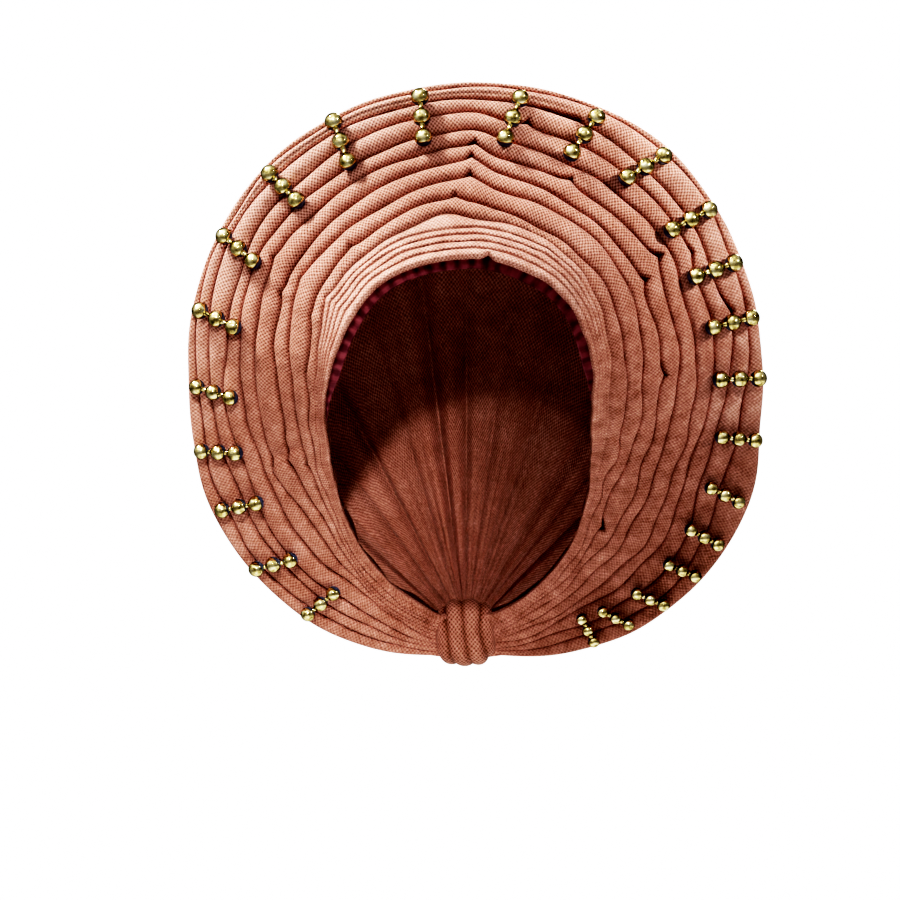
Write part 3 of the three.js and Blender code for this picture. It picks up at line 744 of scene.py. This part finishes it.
def make_inner_band(material):
    """The dark pleated strip behind the brow band, from temple to temple."""
    first, last = INNER_BAND_CLOCKS
    clock = np.linspace(first, last, INNER_BAND_SECTIONS)
    brow = fold_lines(clock)["brow"]
    seam = on_section(clock, brow + BAND_WALL + SEAM_INSET, -BAND_WALL - SEAM_GAP)
    full_from, full_to = first + INNER_BAND_TAPERS[0], last - INNER_BAND_TAPERS[1]
    taper = {first: INNER_BAND_TIP, full_from: 1, full_to: 1, last: INNER_BAND_TIP}
    shows = INNER_BAND_SHOWS * along_clock(taper, clock)
    edge = placed(clock, brow_level(clock) - shows, seam[:, 1] + EDGE_BEHIND_SEAM)
    stray = PLEAT_STRAY * wander(SEEDS["pleat"], clock, *PLEAT_STRAY_WAVES)
    pleat = PLEAT_RISE * np.sin(np.radians(clock) * PLEATS + stray)
    loops = []
    for share in np.linspace(0, 1, INNER_BAND_STATIONS):
        arch = math.sin(math.pi * share)
        sag = INNER_BAND_SAG * arch + pleat * (PLEAT_AT_EDGE + (1 - PLEAT_AT_EDGE) * arch)
        point = seam + (edge - seam) * share
        loops.append(point + np.stack([0 * clock, sag, 0 * clock], axis=-1))
    behind = [point + np.array([0, INNER_BAND_WALL, 0]) for point in loops[::-1]]
    groups = [0] * len(loops) + [1] * len(behind)
    return lofted("inner_band_cloth", np.stack(loops + behind, axis=1), groups, material)


def knot_skin(direction):
    """Distance from the knot's centre to its skin along unit directions."""
    return (np.abs(direction / KNOT_HALF) ** KNOT_SQUARENESS).sum(axis=-1) ** (-1 / KNOT_SQUARENESS)


def wrap_surface(clock, share):
    """The back wrap's smooth surface: from the rim at share 0 to the knot at share 1."""
    rim = section_radius("rim", clock)
    start = placed(clock, rim - CLOTH / 2, base_depth(clock, rim) + RIM_CURL + WRAP_GAP)
    outward = start - KNOT
    outward = outward / np.linalg.norm(outward, axis=-1, keepdims=True)
    end = KNOT + outward * (knot_skin(outward)[..., None] - WRAP_TUCK)
    crown = section_radius("rim", CROWN_CLOCK)
    longest = math.hypot(crown - KNOT[2], RIM_DEPTH["top"] - KNOT[1])
    reach = np.linalg.norm(start - end, axis=-1, keepdims=True) / longest
    backward = reach * np.array([0, 1, 0])
    belly = start + backward * WRAP_CROWN_REACH
    draw = end + (start - end) * WRAP_DRAW + backward * WRAP_NAPE_REACH
    t = share
    return start * (1 - t) ** 3 + belly * 3 * t * (1 - t) ** 2 + draw * 3 * t * t * (1 - t) + end * t**3


def wrap_normal(clock, share):
    """Unit vectors out of the back wrap's smooth surface."""
    middle = min(max(share, WRAP_STEP), 1 - WRAP_STEP)
    along = wrap_surface(clock, middle + WRAP_STEP) - wrap_surface(clock, middle - WRAP_STEP)
    after = wrap_surface(clock + WRAP_STEP_DEGREES, share)
    round_it = after - wrap_surface(clock - WRAP_STEP_DEGREES, share)
    normal = np.cross(round_it, along)
    return normal / np.linalg.norm(normal, axis=-1, keepdims=True)


def gathered(clock, count, stray):
    """Gathers along the clock, broad on top and narrow between."""
    phase = np.radians(clock) * count + stray
    return 2 * np.abs(np.sin(phase / 2)) ** GATHER_ROUND - GATHER_MIDDLE


def make_back_wrap(material):
    """The cloth from the rim back to the knot, gathered towards the knot."""
    clock = np.linspace(-WRAP_END, WRAP_END, WRAP_SECTIONS)
    stray = GATHER_STRAY * wander(SEEDS["gather"], clock, *GATHER_STRAY_WAVES)
    small_stray = SMALL_STRAY * wander(SEEDS["small gather"], clock, *SMALL_STRAY_WAVES)
    wave = gathered(clock, GATHERS, stray)
    small = gathered(clock, GATHERS * SMALL_GATHERS, small_stray)
    depth = 1 + GATHER_VARIES * wander(SEEDS["gather rise"], clock, *GATHER_VARIES_WAVES)
    outer, inner = [], []
    for share in np.linspace(0, 1, WRAP_STATIONS + 1):
        normal = wrap_normal(clock, share)
        strength = math.sin(math.pi * share**GATHER_LATE) + GATHER_AT_KNOT * share**4
        gather = GATHER_RISE * (wave * depth * strength + SMALL_SHARE * small * share**2 * strength)
        point = wrap_surface(clock, share) + normal * gather[:, None]
        outer.append(point)
        inner.insert(0, point - normal * WRAP_WALL)
    groups = [0] * len(outer) + [1] * len(inner)
    loops = np.stack(outer + inner, axis=1)
    return lofted("back_wrap_cloth", loops, groups, material, None, np.full(loops.shape[:2], WRAP_WEAVE))


def make_knot(material):
    """A rounded knot with the cloth's folds drawn round it."""
    tilt = np.linspace(KNOT_POLE, math.pi - KNOT_POLE, KNOT_RINGS)[:, None]
    turn = np.linspace(0, 2 * math.pi, KNOT_SIDES, endpoint=False)[None]
    direction = np.stack(
        [np.cos(tilt) + 0 * turn, np.sin(tilt) * np.cos(turn), np.sin(tilt) * np.sin(turn)], axis=-1)
    slant = direction[..., 0] * KNOT_FOLDS["across"] + direction[..., 2] * KNOT_FOLDS["up"]
    slant = slant + KNOT_FOLDS["sway"] * np.sin(2 * turn + 1)
    folds = np.abs(np.sin(slant)) ** KNOT_FOLD_ROUND
    skin = knot_skin(direction) + KNOT_FOLD_RISE * (folds - KNOT_FOLD_MIDDLE)
    points = np.array(KNOT) + direction * skin[..., None]
    # painted shade in the valleys between the folds, and a little all over
    painted_shade_and_light = KNOT_PAINTED_SHADE["slits"] * (1 - folds) ** KNOT_PAINTED_SHADE["narrow"] + KNOT_PAINTED_SHADE["all"]
    weave = np.full(painted_shade_and_light.shape, WRAP_WEAVE)
    return lofted("nape_knot_cloth", points, [0] * KNOT_SIDES, material, painted_shade_and_light, weave)


def make_bead_row(name, row, material):
    """Three polished beads with a short link between neighbours, on the solid strand's own line."""
    clock, inset, reach, lean, bead = row
    half = bead / 2
    radius = section_radius("rim", clock) - inset
    height = ROLL_RISE_MOST + half
    along = seen_standing(clock + lean, radius - reach, height) - seen_standing(clock, radius, height)
    pitch = np.linalg.norm(along) / 2
    neck = math.asin(LINK_RADIUS / half)
    profile = []
    for n in (-1, 0, 1):
        first_turn = neck if n > -1 else BEAD_POLE
        last_turn = math.pi - (neck if n < 1 else BEAD_POLE)
        for turn in np.linspace(first_turn, last_turn, BEAD_RINGS + 1):
            profile.append((half * math.sin(turn), n * pitch - half * math.cos(turn)))
        if n < 1:
            profile.append((LINK_RADIUS * LINK_WAIST, (n + 0.5) * pitch))
    spin = np.linspace(0, 2 * math.pi, BEAD_SIDES, endpoint=False)
    loops = np.array([[(r * math.cos(a), r * math.sin(a), z) for a in spin] for r, z in profile])
    piece = lofted(f"{name}_gold", loops, [0] * BEAD_SIDES, material)
    low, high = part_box(name)
    seat = Vector(along).to_track_quat("Z", "X").to_matrix().to_4x4()
    seat.translation = (Vector(low) + Vector(high)) / 2
    piece.data.transform(seat)
    return piece


# Materials

class Nodes:
    """A short way to add nodes to a node tree and link them."""

    def __init__(self, tree):
        self.tree = tree

    def add(self, kind, **settings):
        node = self.tree.nodes.new(kind)
        for key, value in settings.items():
            setattr(node, key, value)
        return node

    def link(self, source, target):
        self.tree.links.new(source, target)

    def feed(self, socket, value):
        """Links an output to a socket, or sets the socket to a constant."""
        if isinstance(value, bpy.types.NodeSocket):
            self.link(value, socket)
        else:
            socket.default_value = value

    def math(self, operation, a, b=0.0, c=0.0):
        node = self.add("ShaderNodeMath", operation=operation)
        for socket, value in zip(node.inputs, (a, b, c)):
            self.feed(socket, value)
        return node.outputs[0]

    def between(self, share, low, high):
        """Runs from low to high as the share runs from 0 to 1."""
        return self.math("MULTIPLY_ADD", share, high - low, low)

    def raised(self, wave):
        """A wave that runs from -1 to 1, moved to run from 0 to 1."""
        return self.math("MULTIPLY_ADD", wave, 0.5, 0.5)

    def vector(self, operation, a, b=None, output="Vector"):
        node = self.add("ShaderNodeVectorMath", operation=operation)
        self.feed(node.inputs[0], a)
        if b is not None:
            self.feed(node.inputs[1], b)
        return node.outputs[output]

    def noise(self, vector, scale, detail=2.0):
        node = self.add("ShaderNodeTexNoise")
        self.link(vector, node.inputs["Vector"])
        node.inputs["Scale"].default_value = scale
        node.inputs["Detail"].default_value = detail
        return node.outputs["Fac"]

    def ramp(self, factor, stops):
        node = self.add("ShaderNodeValToRGB")
        self.link(factor, node.inputs["Fac"])
        elements = node.color_ramp.elements
        while len(elements) < len(stops):
            elements.new(0.5)
        for element, (at, colour) in zip(elements, stops):
            element.position = at
            element.color = (*colour, 1)
        return node.outputs["Color"]


class Surface(Nodes):
    """A new material and the nodes that feed its shader."""

    def __init__(self, name):
        self.material = bpy.data.materials.new(name)
        self.material.use_nodes = True
        super().__init__(self.material.node_tree)
        self.shader = self.tree.nodes["Principled BSDF"]

    def place(self):
        return self.add("ShaderNodeTexCoord").outputs["Object"]

    def weave(self):
        """Runs along and across the cloth, in metres."""
        split = self.add("ShaderNodeSeparateXYZ")
        self.link(self.add("ShaderNodeUVMap", uv_map="weave").outputs["UV"], split.inputs[0])
        return split.outputs[0], split.outputs[1]

    def share(self, name):
        return self.add("ShaderNodeAttribute", attribute_name=name).outputs["Fac"]

    def look(self, inputs):
        for name, value in inputs.items():
            self.feed(self.shader.inputs[name], value)

    def bump(self, height, strength, distance):
        node = self.add("ShaderNodeBump")
        self.link(height, node.inputs["Height"])
        node.inputs["Strength"].default_value = strength
        node.inputs["Distance"].default_value = distance
        self.link(node.outputs["Normal"], self.shader.inputs["Normal"])


def woven_cloth():
    """Salmon cloth in a coarse weave: painted highlights on the thread crowns, painted shade in the pits, in
    the creases and where the weave is closed, painted light towards the rim, and slightly uneven yarn.
    """
    n = Surface("woven_cloth")
    place = n.place()
    along, across = n.weave()
    stray = n.between(n.noise(place, CLOTH_NOISE["stray"]), -THREAD_STRAY, THREAD_STRAY)

    def thread(run, spacing):
        return n.math("SINE", n.math("MULTIPLY", n.math("ADD", run, stray), math.pi / spacing))

    over = n.math("MULTIPLY", thread(along, THREAD_ALONG), thread(across, THREAD_ACROSS))
    crown = n.raised(over)
    pit = n.math("POWER", n.math("SUBTRACT", 1.0, crown), PIT_NARROW)
    opened = n.share("open_weave")
    closed = n.math("SUBTRACT", 1.0, opened)
    yarn = n.between(n.noise(place, CLOTH_NOISE["yarn"], FINE_DETAIL), -YARN_SHADE, YARN_SHADE)
    cloudy = n.between(n.noise(place, CLOTH_NOISE["cloud"], FINE_DETAIL), -CLOUD_SHADE, CLOUD_SHADE)
    # In closed weave the cloth is mottled and mostly painted darker, as painted shade; yarn and cloudy
    # patches vary at random
    mottled_painted_shade = n.math("MULTIPLY", n.between(n.noise(place, CLOTH_NOISE["mottle"]), *MOTTLE_PAINTED_SHADE), closed)
    uneven_and_painted_shade = n.math("ADD", n.math("ADD", yarn, cloudy), mottled_painted_shade)
    # Thread crowns get painted highlights and the pits painted shade, more of it where the weave is open
    painted_light = n.between(opened, *CROWN_PAINTED_HIGHLIGHT)
    light = n.math("MULTIPLY_ADD", n.math("POWER", crown, CROWN_NARROW), painted_light, uneven_and_painted_shade)
    # The mesh's painted shade darkens the cloth in creases, pockets and fold lines, and its painted light
    # lightens it towards the rim and on the brow band
    shade = n.math("MULTIPLY_ADD", n.share("painted_shade_and_light"), -PAINTED_SHADE_STRENGTH, n.math("ADD", light, MIDDLE_SHADE))
    shade = n.math("SUBTRACT", shade, n.math("MULTIPLY", pit, n.between(opened, *PIT_PAINTED_SHADE)))
    rough = n.between(crown, CLOTH_ROUGHNESS["pit"], CLOTH_ROUGHNESS["crown"])
    n.look({"Base Color": n.ramp(shade, CLOTH_COLOURS), "Roughness": rough, **CLOTH_SURFACE})
    crumple = n.noise(place, CLOTH_NOISE["crumple"], FINE_DETAIL)
    crumple = n.math("MULTIPLY", crumple, n.between(opened, *CRUMPLE_RISE))
    n.bump(n.math("MULTIPLY_ADD", yarn, YARN_RISE, n.math("ADD", crown, crumple)), **CLOTH_BUMP)
    return n.material


def dark_band_cloth():
    """Dark maroon ribbed cloth, with painted highlights on the rib tops and painted shade, nearly black, in
    stripes where it puckers.
    """
    n = Surface("dark_band_cloth")
    place = n.place()
    along, _ = n.weave()
    rib = n.raised(n.math("SINE", n.math("MULTIPLY", along, 2 * math.pi / RIB_SPACING)))
    shift = n.math("MULTIPLY_ADD", n.noise(place, DARK_BAND_NOISE["shift"]), PUCKER_SHIFT, along)
    pucker = n.math("SINE", n.math("MULTIPLY", shift, 2 * math.pi / PUCKER_SPACING))
    # stripes of painted shade where the band puckers, over random blotches
    painted_pucker_shade_and_blotch = n.math("MULTIPLY_ADD", pucker, PUCKER_PAINTED_SHADE, n.noise(place, DARK_BAND_NOISE["painted_pucker_shade_and_blotch"]))
    shade = n.math("MULTIPLY_ADD", rib, RIB_PAINTED_HIGHLIGHT, painted_pucker_shade_and_blotch)
    n.look({"Base Color": n.ramp(shade, DARK_BAND_COLOURS), **DARK_BAND_SURFACE})
    n.bump(rib, **DARK_BAND_BUMP)
    return n.material


def polished_gold():
    """Olive gold bead metal, rubbed unevenly in roughness, with patches painted lighter and darker as
    painted reflection, and a dull blue-black rim of painted shade and reflection on the side next to the
    cloth.
    """
    n = Surface("polished_gold")
    coordinates = n.add("ShaderNodeTexCoord").outputs
    place = coordinates["Object"]
    wear_and_painted_reflection = n.noise(place, GOLD_NOISE["wear_and_painted_reflection"], FINE_DETAIL)
    inward = n.vector("NORMALIZE", n.vector("MULTIPLY", place, (-1, 0, -1)))
    under = n.vector("ADD", inward, (0, PAINTED_RIM_BACK, 0))
    facing = n.vector("DOT_PRODUCT", coordinates["Normal"], under, "Value")
    # The side next to the cloth and behind gets a dull blue-black rim of painted shade and reflection, and
    # loses its metal
    painted_dark_rim = n.math("MAXIMUM", n.math("SUBTRACT", facing, PAINTED_RIM_FROM), 0.0)
    # patches of the noise are painted lighter and darker, as painted reflection, and rougher where worn
    shade = n.math("MULTIPLY_ADD", painted_dark_rim, -PAINTED_RIM_DARKER, n.math("MULTIPLY", wear_and_painted_reflection, PAINTED_REFLECTION_PATCHES))
    metal = n.math("MAXIMUM", n.math("MULTIPLY_ADD", painted_dark_rim, -PAINTED_RIM_COVERS, 1.0), 0.0)
    dull = n.math("MULTIPLY_ADD", painted_dark_rim, PAINTED_RIM_DULLER, GOLD_ROUGHNESS)
    rough = n.math("MULTIPLY_ADD", wear_and_painted_reflection, WORN_DULLER, dull)
    colour = n.ramp(shade, GOLD_COLOURS)
    n.look({"Base Color": colour, "Roughness": rough, "Metallic": metal, **GOLD_SURFACE})
    n.bump(n.noise(place, GOLD_NOISE["dented"]), **GOLD_BUMP)
    return n.material


def pale_floor():
    """A pale floor that glows where the camera looks at it."""
    n = Surface("pale_floor")
    colour = n.ramp(n.noise(n.place(), **FLOOR_NOISE), FLOOR_COLOURS)
    seen = n.add("ShaderNodeLightPath").outputs["Is Camera Ray"]
    glow = n.math("MULTIPLY", seen, FLOOR_GLOW)
    n.look({
        "Base Color": colour,
        "Roughness": FLOOR_ROUGHNESS,
        "Emission Color": colour,
        "Emission Strength": glow,
    })
    return n.material


# Assembly


def belongs(piece, node):
    """Attaches a piece to the root body and hides its solid."""
    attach(piece, "root")
    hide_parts(node)


cloth = woven_cloth()
gold = polished_gold()
fan = make_fan(cloth)
brow_band = make_brow_band(cloth)
inner_band = make_inner_band(dark_band_cloth())
back_wrap = make_back_wrap(cloth)
knot = make_knot(cloth)
belongs(fan, "pleated_fan")
belongs(brow_band, "brow_band")
belongs(inner_band, "inner_band")
belongs(back_wrap, "back_wrap")
belongs(knot, "nape_knot")
for number, row in enumerate(BEAD_ROWS, 1):
    node = f"bead_row_{number:02d}"
    belongs(make_bead_row(node, row, gold), node)


# Floor, light and camera

def add_floor():
    bpy.ops.mesh.primitive_circle_add(
        vertices=FLOOR_SIDES, radius=FLOOR_RADIUS, fill_type="NGON", location=(0, 0, FLOOR_LEVEL))
    floor = bpy.context.object
    floor.name = "floor"
    floor.data.materials.append(pale_floor())


def add_light(name, place, aim, size, watts, spread):
    light = bpy.data.lights.new(name, "AREA")
    light.shape = "DISK"
    light.size = size
    light.energy = watts
    light.spread = math.radians(spread)
    lamp = bpy.data.objects.new(name, light)
    lamp.location = place
    lamp.rotation_euler = (Vector(aim) - Vector(place)).to_track_quat("-Z", "Y").to_euler()
    bpy.context.collection.objects.link(lamp)


def studio_world():
    """A white backdrop all round. It lights cloth only dimly, more from the upper left, and shows brighter
    in polished metal."""
    world = bpy.data.worlds.new("studio")
    bpy.context.scene.world = world
    world.use_nodes = True
    n = Nodes(world.node_tree)
    direction = n.add("ShaderNodeTexCoord").outputs["Generated"]
    ray = n.add("ShaderNodeLightPath").outputs

    def backdrop(towards, levels, strength):
        side = n.vector("DOT_PRODUCT", direction, towards, "Value")
        light = n.add("ShaderNodeBackground")
        n.link(n.ramp(side, [(at, (level, level, level)) for at, level in levels]), light.inputs["Color"])
        light.inputs["Strength"].default_value = strength
        return light.outputs[0]

    def either(kind_of_ray, otherwise, there):
        both = n.add("ShaderNodeMixShader")
        for socket, source in zip(both.inputs, (ray[kind_of_ray], otherwise, there)):
            n.link(source, socket)
        return both.outputs[0]

    white = n.tree.nodes["Background"]
    white.inputs["Color"].default_value = (1, 1, 1, 1)
    white.inputs["Strength"].default_value = TONE_WHITE
    lit = either("Is Glossy Ray", backdrop(**WORLD_DIM), backdrop(**WORLD_SHINE))
    shown = either("Is Camera Ray", lit, white.outputs[0])
    n.link(shown, n.tree.nodes["World Output"].inputs["Surface"])


def tone_curve(view):
    """A print-like tone curve: deep in the shades and soft in the lights."""
    view.view_transform = "Standard"
    view.use_curve_mapping = True
    mapping = view.curve_mapping
    mapping.extend = "HORIZONTAL"
    mapping.white_level = [TONE_WHITE] * 3
    curve = mapping.curves[3]
    top = 1 / (1 + (TONE_MIDDLE / TONE_WHITE) ** TONE_CONTRAST)
    for light in TONE_LIGHTS:
        shown = 1 / (1 + (TONE_MIDDLE / light) ** TONE_CONTRAST) / top
        shown = max(shown * (1 + TONE_TOE) - TONE_TOE, 0)
        curve.points.new(light / TONE_WHITE, light_of(shown) if shown else 0)
    mapping.update()


def light_of(shown):
    """The light that a value on the display stands for, by the usual display curve."""
    return ((shown + 0.055) / 1.055) ** 2.4


def add_camera():
    lens = bpy.data.cameras.new("camera")
    lens.sensor_width = SENSOR
    lens.lens = LENS
    camera = bpy.data.objects.new("camera", lens)
    camera.location = CAMERA_PLACE
    camera.rotation_euler = (math.radians(90), 0, 0)
    bpy.context.collection.objects.link(camera)
    bpy.context.scene.camera = camera


add_floor()
for light in LIGHTS:
    add_light(*light)
studio_world()
tone_curve(bpy.context.scene.view_settings)
add_camera()
